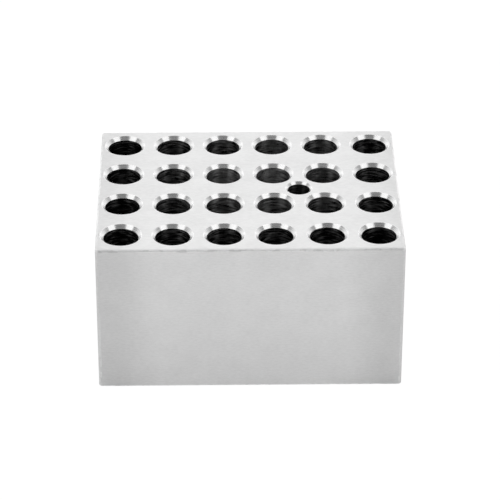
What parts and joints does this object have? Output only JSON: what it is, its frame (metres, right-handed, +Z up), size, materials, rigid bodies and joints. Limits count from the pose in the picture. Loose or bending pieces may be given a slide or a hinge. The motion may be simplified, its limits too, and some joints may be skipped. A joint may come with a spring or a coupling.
{
  "type": "heating block",
  "caption": "Rectangular aluminium heating block for a dry block heater, with a grid of countersunk tube wells and a smaller thermometer well in its top face.",
  "frame": {"origin": "centre of the underside, where the block stands on the heater plate", "axes": "+Z up, out of the wells; +X along the long side, towards the end that the thermometer well is nearer to; +Y away from the long side that the picture shows"},
  "size_m": [0.095, 0.075, 0.05],
  "materials": {
    "machined_aluminium": "satin machined, bright in the countersinks"
  },
  "bodies": {
    "root": {"heating_block": "machined_aluminium"}
  },
  "joints": []
}
